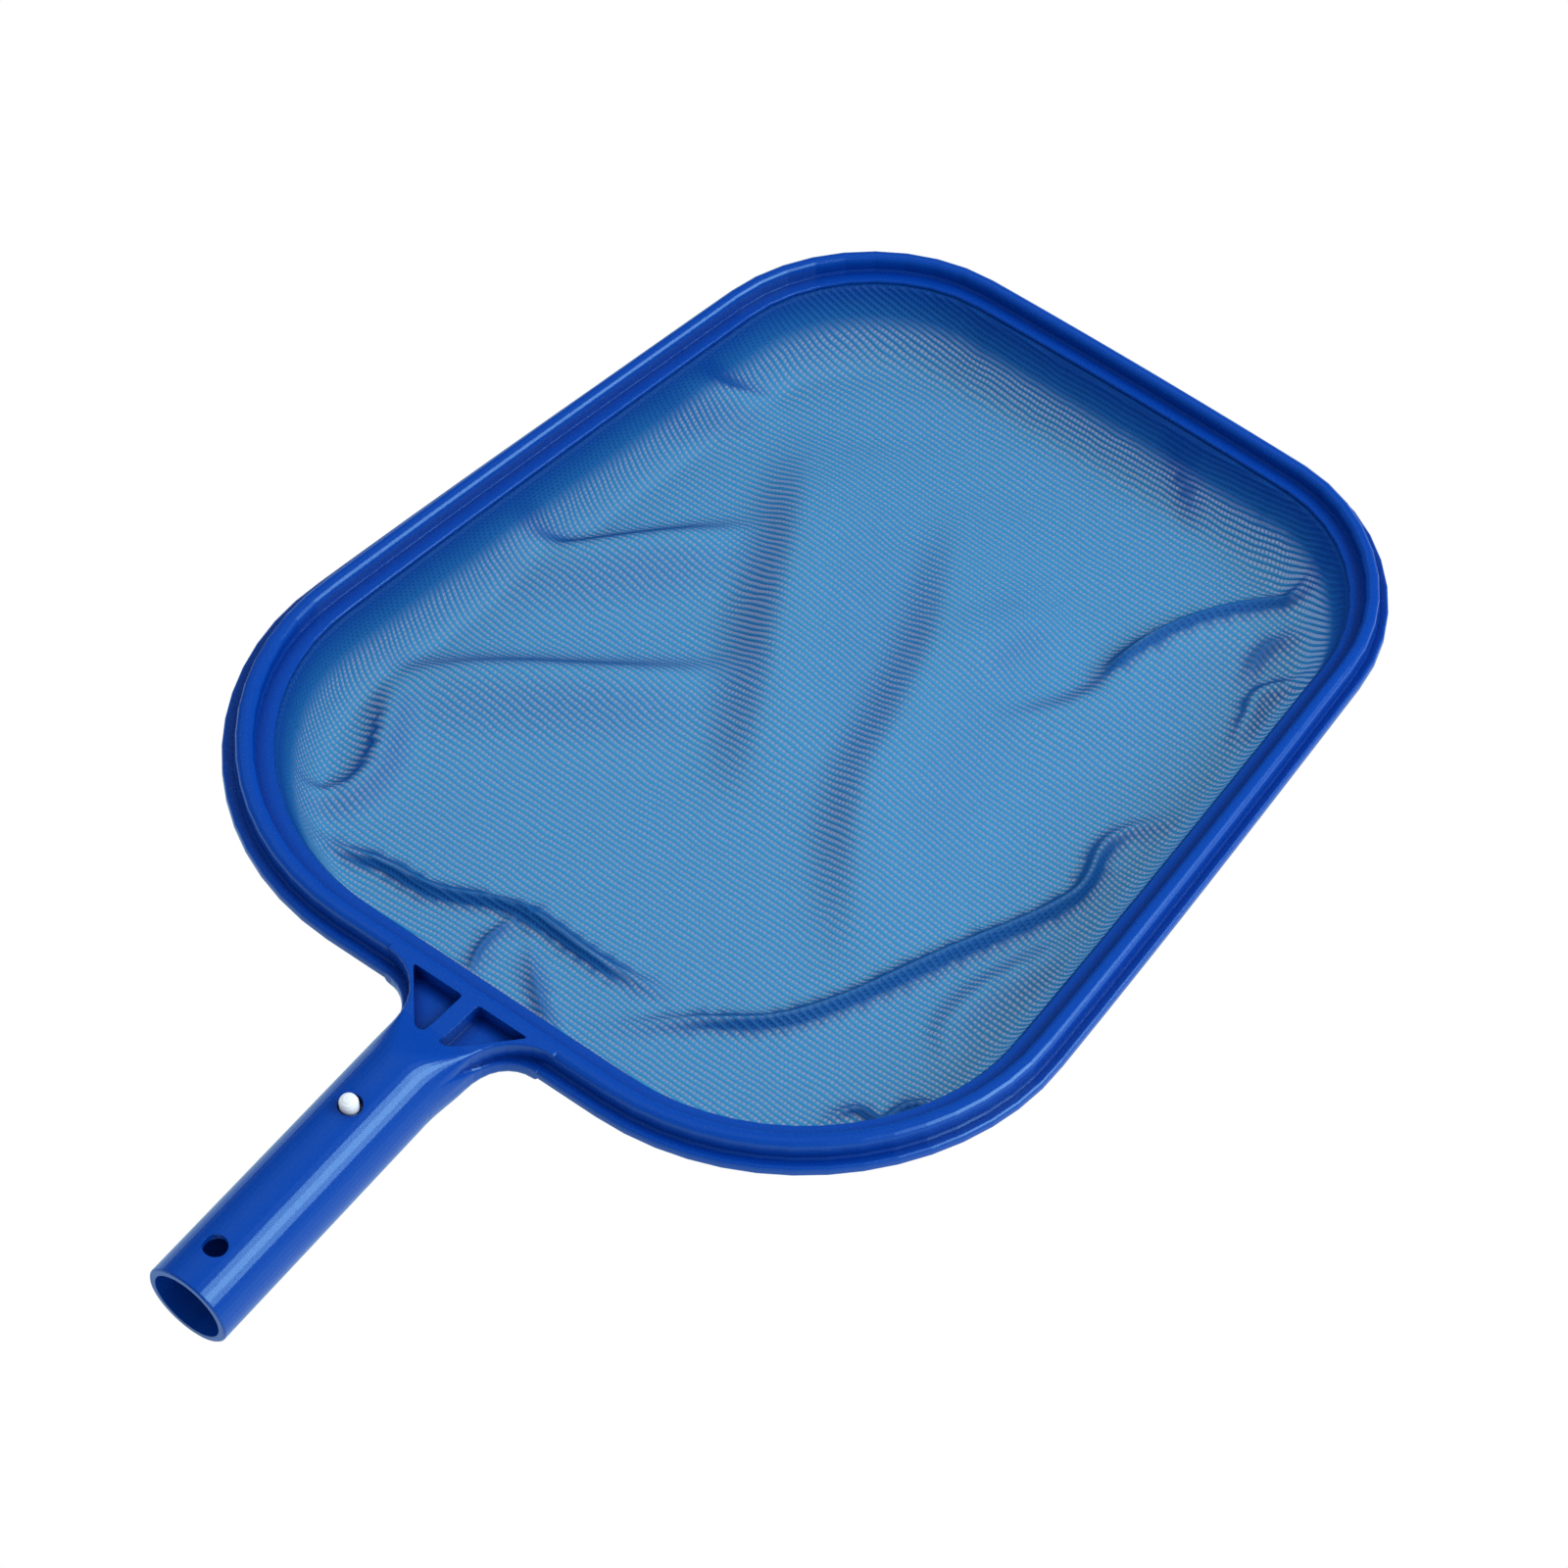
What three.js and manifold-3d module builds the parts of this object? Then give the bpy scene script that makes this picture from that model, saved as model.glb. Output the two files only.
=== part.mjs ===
// Leaf skimmer net: a moulded head with its handle socket, a net bag held by its hem, and a
// snap clip in the socket. Millimetres, +X from the socket's mouth to the head's leading edge,
// +Z up, the head level. Heights are counted from the head's underside until the last step,
// which puts the origin on the floor at the middle of the footprint.
import * as THREE from "three";
import { mergeVertices } from "three/addons/utils/BufferGeometryUtils.js";
import Module from "manifold-3d";

const wasm = await Module();
wasm.setup();

// ---- Driving sizes ----------------------------------------------------------------------
const seat_gap = 0.3; // between pieces that touch
const overcut = 1; // how far a cutting solid runs past the face it opens

// Head outline: a trapezoid with round corners, its sides bowed a little.
const head = {
  length: 342,
  near_half: 155.5,
  far_half: 121,
  near_corner: 93.5,
  far_corner: 65,
  side_bow: 3.8,
  far_bow: 4.4,
  stations: 104,
};

// Head section, widths at the handle side; they shrink evenly towards the leading edge.
const band = {
  far_share: 0.72,
  lip_height: 3.6,
  lip_width: 4.4,
  ridge_width: 5.6,
  ridge_height: 9.6,
  ridge_crown: 1.6,
  crown_steps: 6,
  flange_width: 6.6,
  flange_height: 4,
  edge_round: 0.8,
  channel_width: 2.6,
  channel_roof: 2.2,
};

// Net bag. Its wall falls from the hem and eases into the floor, which has one low wave in it.
const net = {
  thickness: 0.8,
  hem_grip: 4,
  foot_curve: 1.3,
  wall_steps: 4,
  floor_rings: 6,
  floor_eye: 0.04, // share of the floor's reach that the innermost ring leaves open
};

// How far the bag's wall runs in before it meets the floor, by the side it hangs from, going
// round from the handle.
const wall_run = {
  near: 46,
  near_right: 52,
  right: 28,
  far_right: 38,
  far: 10,
  far_left: 12,
  left: 10,
  near_left: 28,
};

// The wave is steep on its left and gentle on its right. Its ends are in shares of the head's
// length and of its half width.
const wave = {
  from: { along: 0.8, across: 0.53 },
  to: { along: 0.38, across: -0.03 },
  height: 8,
  left_width: 10,
  right_width: 30,
};

// Handle socket, along its own axis from the mouth.
const socket = {
  mouth_radius: 14.7,
  neck_radius: 14.3,
  wall: 2,
  length: 97,
  slope: THREE.MathUtils.degToRad(7),
  start_x: -28,
  start_z: 1.7,
  mouth_chamfer: 0.5,
  bore_straight: 90,
  bore_depth: 104,
  bore_end_radius: 5,
  sides: 48,
};

// Holes for the snap buttons, by their distance from the mouth.
const holes = { radius: 3.9, outer_at: 15, inner_at: 76, sides: 36 };

// Neck, where the round socket flattens into a plate with a fillet at each side.
const neck = {
  from_x: -32,
  fillet_from_x: -15,
  level_from_x: -9,
  to_x: 7,
  fillet_radius: 15,
  plate_waist: 13.3,
  lip_waist: 15,
  top_round: 1,
  lip_round: 1.2,
  step: 0.05, // the neck's faces lie this far inside the head's
  stations: 8,
};

// The two triangular pockets in the neck's top, either side of the rib.
const pocket = {
  rib_width: 6,
  base_half: 22.4,
  tip_x: -14.2,
  tip_width: 3,
  ridge_bite: 0.2,
  corner: 1.4,
  floor_height: 4,
};

const clip = {
  width: 8,
  thickness: 0.8,
  bend_radius: 7,
  reach: 44,
  pad_before: 5,
  tail: 7,
  stem_radius: 1.4,
};

// Each button stands off the middle of its hole, towards the mouth, because its arm carries it
// towards the neck when it is pressed.
const button = { radius: 3, proud: 3.6, dome: 2, off_centre: 0.4, sides: 32 };

// ---- Sizes that follow -------------------------------------------------------------------
const mouth_x = socket.start_x - socket.length * Math.cos(socket.slope);
const mouth_z = socket.start_z - socket.length * Math.sin(socket.slope);
const bore_radius = socket.neck_radius - socket.wall;
const floor_z = mouth_z - socket.mouth_radius * Math.cos(socket.slope);
const ridge_from = band.lip_width;
const flange_from = ridge_from + band.ridge_width;
const band_width = flange_from + band.flange_width;
const slot_height = net.thickness + 2 * seat_gap;
const slot_low = (band.flange_height - slot_height) / 2;
const hem_low = slot_low + seat_gap;

// Along the socket's axis, from the mouth. The strip's edges lie against the bore.
const button_at = holes.inner_at - button.off_centre;
const hinge_at = button_at - clip.reach;
const pad_top = Math.sqrt((bore_radius - seat_gap) ** 2 - (clip.width / 2) ** 2);

// Socket frame: origin at the centre of the mouth, +X along the bore towards the neck.
const socket_frame = new THREE.Matrix4()
  .makeRotationY(-socket.slope)
  .setPosition(mouth_x, 0, mouth_z);

// ---- Materials -----------------------------------------------------------------------------
const blue_plastic = { color: 0x0848a8, roughness: 0.32, metalness: 0 };
const net_mesh = { color: 0x4a8fc4, roughness: 0.8, metalness: 0 };
const spring_steel = { color: 0xb4b8bc, roughness: 0.35, metalness: 1 };
const white_plastic = { color: 0xe6e6ea, roughness: 0.4, metalness: 0 };

// ---- Geometry helpers ------------------------------------------------------------------------
// Joins rings of points, each as long as the last, into one surface. Loose ends are closed
// with a fan about the middle of the ring.
function loft(rings, closed) {
  const size = rings[0].length;
  const points = rings.flat();
  const faces = [];
  const spans = closed ? rings.length : rings.length - 1;
  for (let i = 0; i < spans; i += 1) {
    const near = i * size;
    const far = ((i + 1) % rings.length) * size;
    for (let j = 0; j < size; j += 1) {
      const next = (j + 1) % size;
      faces.push(near + j, near + next, far + next);
      faces.push(near + j, far + next, far + j);
    }
  }
  if (!closed) {
    const last = (rings.length - 1) * size;
    const start = points.push(middle(rings[0])) - 1;
    const end = points.push(middle(rings[rings.length - 1])) - 1;
    for (let j = 0; j < size; j += 1) {
      const next = (j + 1) % size;
      faces.push(start, next, j);
      faces.push(end, last + j, last + next);
    }
  }
  const geometry = new THREE.BufferGeometry().setFromPoints(points);
  geometry.setIndex(faces);
  return outward(geometry);
}

function middle(ring) {
  const sum = ring.reduce((total, point) => total.add(point), new THREE.Vector3());
  return sum.divideScalar(ring.length);
}

// Turns a closed surface's faces round if they point inwards.
function outward(geometry) {
  const position = geometry.getAttribute("position");
  const index = geometry.getIndex();
  const corners = [new THREE.Vector3(), new THREE.Vector3(), new THREE.Vector3()];
  let volume = 0;
  for (let i = 0; i < index.count; i += 3) {
    corners.forEach((corner, k) => corner.fromBufferAttribute(position, index.getX(i + k)));
    volume += corners[0].dot(corners[1].cross(corners[2]));
  }
  if (volume < 0) {
    index.array.reverse();
  }
  return geometry;
}

function toSolid(geometry) {
  const bare = geometry.clone();
  bare.deleteAttribute("normal");
  bare.deleteAttribute("uv");
  const merged = mergeVertices(bare, 1e-4);
  const mesh = new wasm.Mesh({
    numProp: 3,
    vertProperties: new Float32Array(merged.getAttribute("position").array),
    triVerts: new Uint32Array(merged.getIndex().array),
  });
  return new wasm.Manifold(mesh);
}

function toGeometry(solid) {
  const mesh = solid.getMesh();
  const geometry = new THREE.BufferGeometry();
  geometry.setAttribute("position", new THREE.BufferAttribute(mesh.vertProperties, 3));
  geometry.setIndex(new THREE.BufferAttribute(mesh.triVerts, 1));
  geometry.computeVertexNormals();
  return geometry;
}

function piece(name, geometry, finish) {
  const mesh = new THREE.Mesh(geometry, new THREE.MeshStandardMaterial(finish));
  mesh.name = name;
  return mesh;
}

// A turned solid about the X axis, from [distance, radius] pairs that start and end at radius 0.
function turned(profile, sides) {
  const points = profile.map(([along, radius]) => new THREE.Vector2(radius, along));
  return new THREE.LatheGeometry(points, sides).rotateZ(-Math.PI / 2);
}

// A flat outline in X and Z given thickness along Y, centred on Y = 0.
function slab(outline, width) {
  const shape = new THREE.Shape(outline.map(([x, z]) => new THREE.Vector2(x, z)));
  const geometry = new THREE.ExtrudeGeometry(shape, { depth: width, bevelEnabled: false });
  return geometry.rotateX(Math.PI / 2).translate(0, width / 2, 0);
}

// ---- Head ----------------------------------------------------------------------------------------
// A polygon with an arc at each corner.
function roundedPath(corners, radii) {
  const path = new THREE.Path();
  corners.forEach((corner, i) => {
    const before = corners[(i + corners.length - 1) % corners.length];
    const after = corners[(i + 1) % corners.length];
    const back = before.clone().sub(corner).normalize();
    const on = after.clone().sub(corner).normalize();
    const half = Math.acos(back.dot(on)) / 2;
    const bisector = back.clone().add(on).normalize();
    const centre = corner.clone().addScaledVector(bisector, radii[i] / Math.sin(half));
    const reach = radii[i] / Math.tan(half);
    const start = corner.clone().addScaledVector(back, reach).sub(centre).angle();
    const end = corner.clone().addScaledVector(on, reach).sub(centre).angle();
    path.absarc(centre.x, centre.y, radii[i], start, end, false);
  });
  path.closePath();
  return path;
}

// Points round the head's outer edge, each with its inward direction and its share of the
// full section width.
function headStations() {
  const corners = [
    new THREE.Vector2(0, -head.near_half),
    new THREE.Vector2(head.length, -head.far_half),
    new THREE.Vector2(head.length, head.far_half),
    new THREE.Vector2(0, head.near_half),
  ];
  const radii = [head.near_corner, head.far_corner, head.far_corner, head.near_corner];
  const points = roundedPath(corners, radii).getSpacedPoints(head.stations).slice(0, -1);
  points.forEach(bow);
  return points.map((point, i) => {
    const before = points[(i + points.length - 1) % points.length];
    const after = points[(i + 1) % points.length];
    const along = after.clone().sub(before).normalize();
    const inward = new THREE.Vector2(-along.y, along.x);
    const share = THREE.MathUtils.lerp(1, band.far_share, point.x / head.length);
    return { point, inward, share };
  });
}

// Bows the long sides and the leading edge outwards.
function bow(point) {
  const along = (2 * point.x) / head.length - 1;
  const across = point.y / head.near_half;
  const side = Math.abs(across) ** 3;
  const far = Math.max(along, 0) ** 3;
  point.y += Math.sign(across) * head.side_bow * (1 - along * along) * side;
  point.x += head.far_bow * (1 - across * across) * far;
}

// Places [inset, height] points at a station. Insets up to the band's width shrink towards the
// leading edge, and what lies past the band keeps its distance from it.
function placed({ point, inward, share }, section) {
  return section.map(([inset, height]) => {
    const in_band = Math.min(inset, band_width) * share;
    const past_band = Math.max(inset - band_width, 0);
    const place = point.clone().addScaledVector(inward, in_band + past_band);
    return new THREE.Vector3(place.x, place.y, height);
  });
}

// The ridge's arched top, from its inner wall to its outer one.
function ridgeCrown() {
  const half = band.ridge_width / 2;
  const points = [];
  for (let i = 0; i <= band.crown_steps; i += 1) {
    const angle = (Math.PI * i) / band.crown_steps;
    const height = band.ridge_height - band.ridge_crown * (1 - Math.sin(angle));
    points.push([ridge_from + half + half * Math.cos(angle), height]);
  }
  return points;
}

// Lip, ridge and flange over an open channel, with the slot that grips the net's hem.
function headSection() {
  const round = band.edge_round;
  const ridge_to = ridge_from + band.ridge_width;
  const channel_from = ridge_from + (band.ridge_width - band.channel_width) / 2;
  const channel_to = channel_from + band.channel_width;
  const channel_top = band.ridge_height - band.channel_roof;
  const slot_end = band_width - net.hem_grip;
  const slot_high = slot_low + slot_height;
  return [
    [round, 0],
    [channel_from, 0],
    [channel_from + round / 2, channel_top],
    [channel_to - round / 2, channel_top],
    [channel_to, 0],
    [band_width - round / 2, 0],
    [band_width, round / 2],
    [band_width, slot_low],
    [slot_end, slot_low],
    [slot_end, slot_high],
    [band_width, slot_high],
    [band_width, band.flange_height - round / 2],
    [band_width - round / 2, band.flange_height],
    [ridge_to + round, band.flange_height],
    [ridge_to + round / 4, band.flange_height + round],
    ...ridgeCrown(),
    [ridge_from - round / 4, band.lip_height + round / 2],
    [ridge_from - round, band.lip_height - round / 4],
    [round * 1.2, band.lip_height],
    [round / 3, band.lip_height - round / 2],
    [0, band.lip_height - round * 1.5],
    [0, round],
    [round / 3, round / 3],
  ];
}

// ---- Socket and neck -----------------------------------------------------------------------
function axisHeight(x) {
  return socket.start_z + (x - socket.start_x) * Math.tan(socket.slope);
}

// An upright cross-section at x: a box with round corners, which is a circle at the socket.
function crossSection(x, half, top, bottom, top_corner, bottom_corner) {
  const most = Math.min(half, (top - bottom) / 2);
  const upper = Math.min(top_corner, most);
  const lower = Math.min(bottom_corner, most);
  const ring = [];
  for (let j = 0; j < socket.sides; j += 1) {
    const angle = (2 * Math.PI * (j + 0.5)) / socket.sides;
    const across = Math.cos(angle);
    const up = Math.sin(angle);
    const corner = up > 0 ? upper : lower;
    const y = Math.sign(across) * (half - corner) + corner * across;
    const z = up > 0 ? top - corner + corner * up : bottom + corner + corner * up;
    ring.push(new THREE.Vector3(x, y, z));
  }
  return ring;
}

// One cross-section of the neck, which is built in two layers with edges of their own.
function neckRing(x, half, layer) {
  const reach = socket.neck_radius / Math.cos(socket.slope);
  const sink = THREE.MathUtils.smoothstep(x, neck.from_x, neck.level_from_x);
  const rise = THREE.MathUtils.smoothstep(x, neck.from_x, neck.to_x);
  const top = THREE.MathUtils.lerp(axisHeight(x) + reach, layer.top, sink);
  const bottom = THREE.MathUtils.lerp(axisHeight(x) - reach, layer.bottom, rise);
  const top_corner = THREE.MathUtils.lerp(reach, layer.round, sink);
  const bottom_corner = THREE.MathUtils.lerp(reach, layer.round, rise);
  return crossSection(x, half, top, bottom, top_corner, bottom_corner);
}

// A layer's cross-sections from the socket to its waist, then widening along the fillets.
function neckRings(layer) {
  const rings = [];
  const run = neck.fillet_from_x - neck.from_x;
  for (let i = 0; i <= neck.stations; i += 1) {
    const x = neck.from_x + layer.delay + ((run - layer.delay) * i) / neck.stations;
    const share = THREE.MathUtils.smoothstep(x, neck.from_x, neck.fillet_from_x);
    rings.push(neckRing(x, THREE.MathUtils.lerp(socket.neck_radius, layer.waist, share), layer));
  }
  for (let i = 1; i <= neck.stations; i += 1) {
    const angle = ((Math.PI / 2) * i) / neck.stations;
    const x = neck.fillet_from_x + layer.fillet * Math.sin(angle);
    rings.push(neckRing(x, layer.waist + layer.fillet * (1 - Math.cos(angle)), layer));
  }
  rings.push(neckRing(neck.to_x, layer.waist + layer.fillet, layer));
  return rings;
}

// A ring square to the socket's axis.
function socketRing(distance, radius) {
  const ring = [];
  for (let j = 0; j < socket.sides; j += 1) {
    const angle = (2 * Math.PI * (j + 0.5)) / socket.sides;
    const point = new THREE.Vector3(distance, radius * Math.cos(angle), radius * Math.sin(angle));
    ring.push(point.applyMatrix4(socket_frame));
  }
  return ring;
}

// The socket's tube and the neck's plate in one skin, over the wider lip round the neck.
function socketAndNeck() {
  const plate = {
    top: band.ridge_height - neck.step,
    bottom: band.lip_height / 2,
    waist: neck.plate_waist,
    fillet: neck.fillet_radius + band.lip_width,
    round: neck.top_round,
    delay: 0,
  };
  const lip = {
    top: band.lip_height - neck.step,
    bottom: neck.step,
    waist: neck.lip_waist,
    fillet: neck.fillet_radius,
    round: neck.lip_round,
    delay: 1,
  };
  const skin = [
    socketRing(0, socket.mouth_radius - socket.mouth_chamfer),
    socketRing(socket.mouth_chamfer, socket.mouth_radius),
    ...neckRings(plate),
  ];
  return toSolid(loft(skin, false)).add(toSolid(loft(neckRings(lip), false)));
}

// The pocket's long wall is the ridge's outer wall.
function pocketSolid(side) {
  const base_x = ridge_from + pocket.ridge_bite;
  const inner = (side * pocket.rib_width) / 2;
  const outer = side * pocket.base_half;
  const tip = inner + side * pocket.tip_width;
  const corners = [
    new THREE.Vector2(base_x, inner),
    new THREE.Vector2(base_x, outer),
    new THREE.Vector2(pocket.tip_x, tip),
    new THREE.Vector2(pocket.tip_x, inner),
  ];
  if (side < 0) {
    corners.reverse();
  }
  const outline = new THREE.Shape(outlineOf(corners, pocket.corner));
  const depth = band.ridge_height + socket.neck_radius - pocket.floor_height;
  const geometry = new THREE.ExtrudeGeometry(outline, { depth, bevelEnabled: false });
  return toSolid(geometry.translate(0, 0, pocket.floor_height));
}

// Points of a polygon with small round corners.
function outlineOf(corners, radius) {
  return corners.flatMap((corner, i) => {
    const before = corners[(i + corners.length - 1) % corners.length];
    const after = corners[(i + 1) % corners.length];
    const start = corner.clone().addScaledVector(before.clone().sub(corner).normalize(), radius);
    const end = corner.clone().addScaledVector(after.clone().sub(corner).normalize(), radius);
    return new THREE.QuadraticBezierCurve(start, corner, end).getPoints(4);
  });
}

function boreSolid() {
  const bore = turned(
    [
      [-overcut, 0],
      [-overcut, bore_radius],
      [socket.bore_straight, bore_radius],
      [socket.bore_depth, socket.bore_end_radius],
      [socket.bore_depth, 0],
    ],
    socket.sides,
  );
  return toSolid(bore.applyMatrix4(socket_frame));
}

// A straight hole through both walls of the socket.
function crossHole(distance) {
  const height = 2 * (socket.mouth_radius + overcut);
  const hole = new THREE.CylinderGeometry(holes.radius, holes.radius, height, holes.sides);
  hole.rotateX(Math.PI / 2).translate(distance, 0, 0);
  return toSolid(hole.applyMatrix4(socket_frame));
}

function headAndSocket() {
  const section = headSection();
  const ring = toSolid(loft(headStations().map((station) => placed(station, section)), true));
  return ring
    .add(socketAndNeck())
    .subtract(pocketSolid(1))
    .subtract(pocketSolid(-1))
    .subtract(boreSolid())
    .subtract(crossHole(holes.outer_at))
    .subtract(crossHole(holes.inner_at));
}

// ---- Net ---------------------------------------------------------------------------------------------------
// The wall's run for a station, from the direction it faces.
function wallRun(inward) {
  const runs = Object.values(wall_run);
  const turn = (inward.angle() / (2 * Math.PI)) * runs.length;
  const before = Math.floor(turn);
  const share = THREE.MathUtils.smoothstep(turn - before, 0, 1);
  return THREE.MathUtils.lerp(runs[before % runs.length], runs[(before + 1) % runs.length], share);
}

// Inside face of the bag as [inset, height] points, from the hem in the head's slot to the foot.
function bagLine(run) {
  const hem_end = band_width - net.hem_grip + seat_gap / band.far_share;
  const hem_top = hem_low + net.thickness;
  const drop_at = band_width + 2 * seat_gap;
  const wall_at = drop_at + net.thickness;
  const foot = floor_z + net.thickness;
  const drop = hem_top - net.thickness - foot;
  const line = [
    [hem_end, hem_top],
    [drop_at, hem_top],
  ];
  for (let i = 0; i <= net.wall_steps; i += 1) {
    const share = i / net.wall_steps;
    line.push([wall_at + run * share, foot + drop * (1 - share) ** net.foot_curve]);
  }
  return line;
}

// Outside face of the bag: each point of the inside face, moved square to it.
function outsideOf(line) {
  return line.map(([inset, height], i) => {
    const [from_inset, from_height] = line[Math.max(i - 1, 0)];
    const [to_inset, to_height] = line[Math.min(i + 1, line.length - 1)];
    const along = new THREE.Vector2(to_inset - from_inset, to_height - from_height).normalize();
    return [inset + along.y * net.thickness, height - along.x * net.thickness];
  });
}

function waveEnd({ along, across }) {
  return new THREE.Vector2(along * head.length, across * head.near_half);
}

function waveHeight(x, y) {
  const from = waveEnd(wave.from);
  const run = waveEnd(wave.to).sub(from);
  const offset = new THREE.Vector2(x, y).sub(from);
  const share = THREE.MathUtils.clamp(offset.dot(run) / run.lengthSq(), 0, 1);
  const aside = offset.cross(run) / run.length();
  const width = aside > 0 ? wave.left_width : wave.right_width;
  return wave.height * Math.sin(Math.PI * share) * Math.exp(-((aside / width) ** 2));
}

// Rings of one face of the bag's floor, from its foot in towards the middle of the wave.
function floorRings(foot, height) {
  const crest = waveEnd(wave.from).lerp(waveEnd(wave.to), 0.5);
  const centre = new THREE.Vector3(crest.x, crest.y, height);
  const rings = [];
  for (let i = 1; i <= net.floor_rings; i += 1) {
    const share = ((1 - net.floor_eye) * i) / net.floor_rings;
    const ring = foot.map((point) => point.clone().lerp(centre, share));
    ring.forEach((point) => point.setZ(height + waveHeight(point.x, point.y)));
    rings.push(ring);
  }
  return rings;
}

function netGeometry() {
  const around = headStations().map((station) => {
    const inside = bagLine(wallRun(station.inward));
    return placed(station, [...inside, ...outsideOf(inside)]);
  });
  const rings = around[0].map((_, j) => around.map((points) => points[j]));
  const inside = rings.slice(0, rings.length / 2);
  const outside = rings.slice(rings.length / 2);
  inside.push(...floorRings(inside.at(-1), floor_z + net.thickness));
  outside.push(...floorRings(outside.at(-1), floor_z));
  return loft([...outside.reverse(), ...inside], false);
}

// ---- Snap clip ---------------------------------------------------------------------------------
// Drawn along the socket's axis, on the upper side: the bend faces the mouth and the arm
// spreads from it to a flat pad against the bore.
function armGeometry(side) {
  const root = hinge_at + seat_gap;
  const pad_from = button_at - clip.pad_before;
  const tip = button_at + clip.tail;
  const skin = clip.thickness;
  const outline = [
    [root, clip.bend_radius - skin],
    [pad_from, pad_top - skin],
    [tip, pad_top - skin],
    [tip, pad_top],
    [pad_from, pad_top],
    [root, clip.bend_radius],
  ];
  const hole_radius = clip.stem_radius + seat_gap;
  const hole = new THREE.CylinderGeometry(hole_radius, hole_radius, 4 * skin, button.sides);
  hole.rotateX(Math.PI / 2).translate(button_at, 0, pad_top);
  const arm = toSolid(slab(outline, clip.width)).subtract(toSolid(hole));
  return turnedTo(side, toGeometry(arm));
}

function bendGeometry() {
  const shape = new THREE.Shape();
  shape.absarc(hinge_at, 0, clip.bend_radius, Math.PI / 2, (3 * Math.PI) / 2, false);
  const inner = clip.bend_radius - clip.thickness;
  shape.absarc(hinge_at, 0, inner, (3 * Math.PI) / 2, Math.PI / 2, true);
  const options = { depth: clip.width, bevelEnabled: false, curveSegments: 16 };
  const bend = new THREE.ExtrudeGeometry(shape, options);
  return bend.rotateX(Math.PI / 2).translate(0, clip.width / 2, 0);
}

// A domed button on a stem that passes through its arm.
function buttonGeometry(side) {
  const foot = pad_top + seat_gap;
  const tip = socket.mouth_radius + button.proud;
  const profile = [
    [pad_top - clip.thickness, 0],
    [pad_top - clip.thickness, clip.stem_radius],
    [foot, clip.stem_radius],
    [foot, button.radius],
    [tip - button.dome, button.radius],
    [tip - button.dome * 0.5, button.radius * 0.87],
    [tip - button.dome * 0.13, button.radius * 0.5],
    [tip, 0],
  ];
  const points = profile.map(([height, radius]) => new THREE.Vector2(radius, height));
  const body = new THREE.LatheGeometry(points, button.sides);
  body.rotateX(Math.PI / 2).translate(button_at, 0, 0);
  return turnedTo(side, body);
}

// Turns a piece half round the socket's axis for the lower side, which is -1.
function turnedTo(side, geometry) {
  return side > 0 ? geometry : geometry.rotateX(Math.PI);
}

// ---- Assembly --------------------------------------------------------------------------------------------------
const skimmer = new THREE.Group();
skimmer.add(piece("frame_and_socket", toGeometry(headAndSocket()), blue_plastic));
skimmer.add(piece("net_bag", netGeometry(), net_mesh));

const clip_group = new THREE.Group();
clip_group.applyMatrix4(socket_frame);
clip_group.add(piece("clip_bend", bendGeometry(), spring_steel));
clip_group.add(piece("clip_upper_arm", armGeometry(1), spring_steel));
clip_group.add(piece("clip_lower_arm", armGeometry(-1), spring_steel));
clip_group.add(piece("upper_snap_button", buttonGeometry(1), white_plastic));
clip_group.add(piece("lower_snap_button", buttonGeometry(-1), white_plastic));
skimmer.add(clip_group);

const footprint = new THREE.Box3().setFromObject(skimmer);
const part = new THREE.Group();
skimmer.position.set(-(footprint.min.x + footprint.max.x) / 2, 0, -footprint.min.z);
part.add(skimmer);

export default part;
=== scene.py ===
"""Leaf skimmer net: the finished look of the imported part, with its camera and lights.

Metres, in the part's own frame: +X from the socket's mouth to the leading edge, +Z up."""

import math

import bpy
import numpy as np
from mathutils import Matrix, Vector
from mathutils.geometry import delaunay_2d_cdt
from mathutils.kdtree import KDTree


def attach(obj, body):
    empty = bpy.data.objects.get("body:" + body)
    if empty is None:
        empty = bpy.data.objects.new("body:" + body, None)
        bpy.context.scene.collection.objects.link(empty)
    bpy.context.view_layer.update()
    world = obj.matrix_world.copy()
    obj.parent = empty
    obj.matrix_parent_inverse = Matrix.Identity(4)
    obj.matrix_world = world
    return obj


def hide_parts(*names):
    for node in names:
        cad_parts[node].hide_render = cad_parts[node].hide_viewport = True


MM = 0.001
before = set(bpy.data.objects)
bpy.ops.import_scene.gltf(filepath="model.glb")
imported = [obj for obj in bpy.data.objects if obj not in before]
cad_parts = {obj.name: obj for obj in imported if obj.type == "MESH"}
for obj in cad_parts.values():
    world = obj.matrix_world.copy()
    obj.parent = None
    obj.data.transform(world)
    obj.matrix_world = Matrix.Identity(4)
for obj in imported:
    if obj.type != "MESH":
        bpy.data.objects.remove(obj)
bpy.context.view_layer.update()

# ---- The head's outline, as in the part's source (millimetres, from its near edge) -------------
HEAD = dict(length=342, near_half=155.5, far_half=121, near_corner=93.5, far_corner=65)
SIDE_BOW, FAR_BOW = 3.8, 4.4  # how far the long sides and the leading edge bow out
BAND_WIDTH, FAR_SHARE = 16.6, 0.72  # at the near edge, and the share left at the leading edge
CORNER_STEPS = 24
NEAR_EDGE_X, UNDERSIDE_Z = -110.2, 24.71  # where the head lies in the part's frame


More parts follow.
